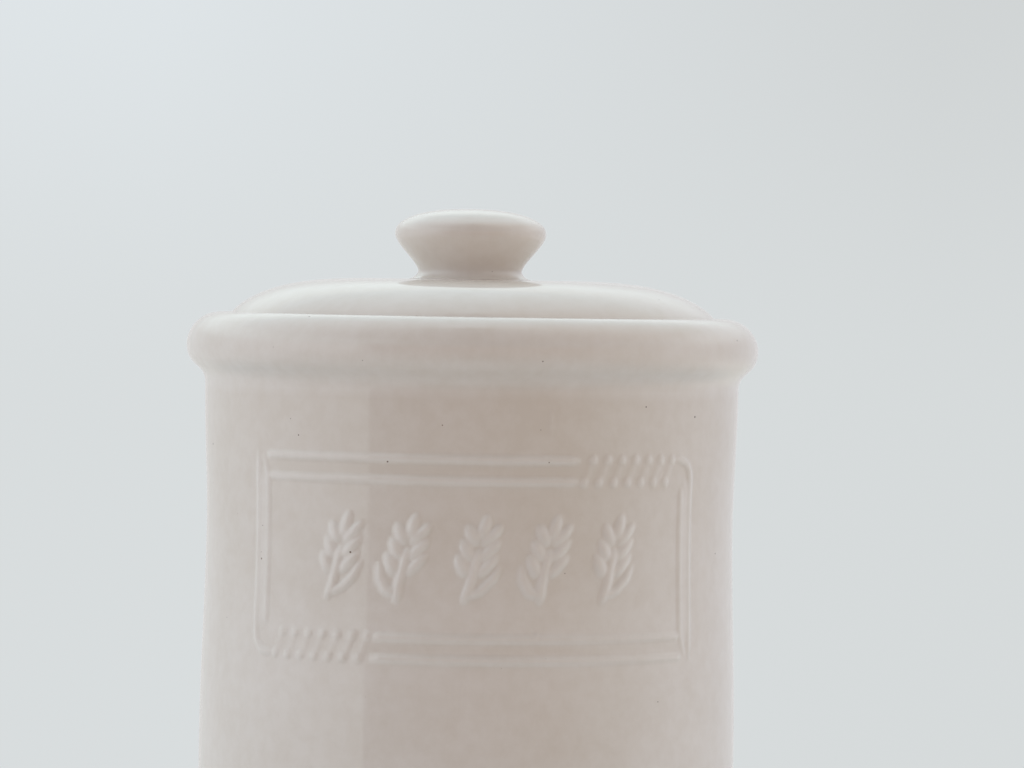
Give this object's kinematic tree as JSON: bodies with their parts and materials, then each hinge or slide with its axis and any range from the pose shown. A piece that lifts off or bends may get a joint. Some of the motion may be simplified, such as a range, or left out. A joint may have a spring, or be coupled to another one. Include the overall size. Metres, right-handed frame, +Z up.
{
  "type": "lidded ceramic canister",
  "caption": "Round cream-glazed ceramic kitchen canister with a rolled rim, raised framed decoration and a low domed lid with a mushroom knob.",
  "frame": {"origin": "middle of the foot ring, on the surface that the canister stands on", "axes": "+Z up along the pot's axis; the decorated front faces -Y"},
  "size_m": [0.1398, 0.1398, 0.2166],
  "materials": {
    "glaze_body": "glossy cream glaze with fine brown specks",
    "glaze_lid": "glossy cream glaze with fine brown specks",
    "glaze_knob": "glossy cream glaze, thin and warm on the edges",
    "glaze_relief": "glossy cream glaze, softened over the relief",
    "seal_silicone": "satin translucent white silicone"
  },
  "bodies": {
    "canister": {"canister_body": "glaze_body", "frame_stile_left": "glaze_relief", "frame_stile_right": "glaze_relief", "frame_rail_top": "glaze_relief", "frame_rail_bottom": "glaze_relief", "rope_twist_top": "glaze_relief", "rope_twist_bottom": "glaze_relief", "wheat_ear_1": "glaze_relief", "wheat_ear_2": "glaze_relief", "wheat_ear_3": "glaze_relief", "wheat_ear_4": "glaze_relief", "wheat_ear_5": "glaze_relief"},
    "seal": {"lid_seal": "seal_silicone"},
    "lid": {"lid_cover": "glaze_lid", "lid_knob": "glaze_knob"}
  },
  "joints": [
    {"name": "lid_lift", "type": "slide", "parent": "canister", "child": "seal", "axis": [0, 0, 1], "range_m": [0, 0.12]},
    {"name": "lid_turn", "type": "hinge", "parent": "seal", "child": "lid", "pos_m": [0, 0, 0.18], "axis": [0, 0, 1], "continuous": true}
  ]
}
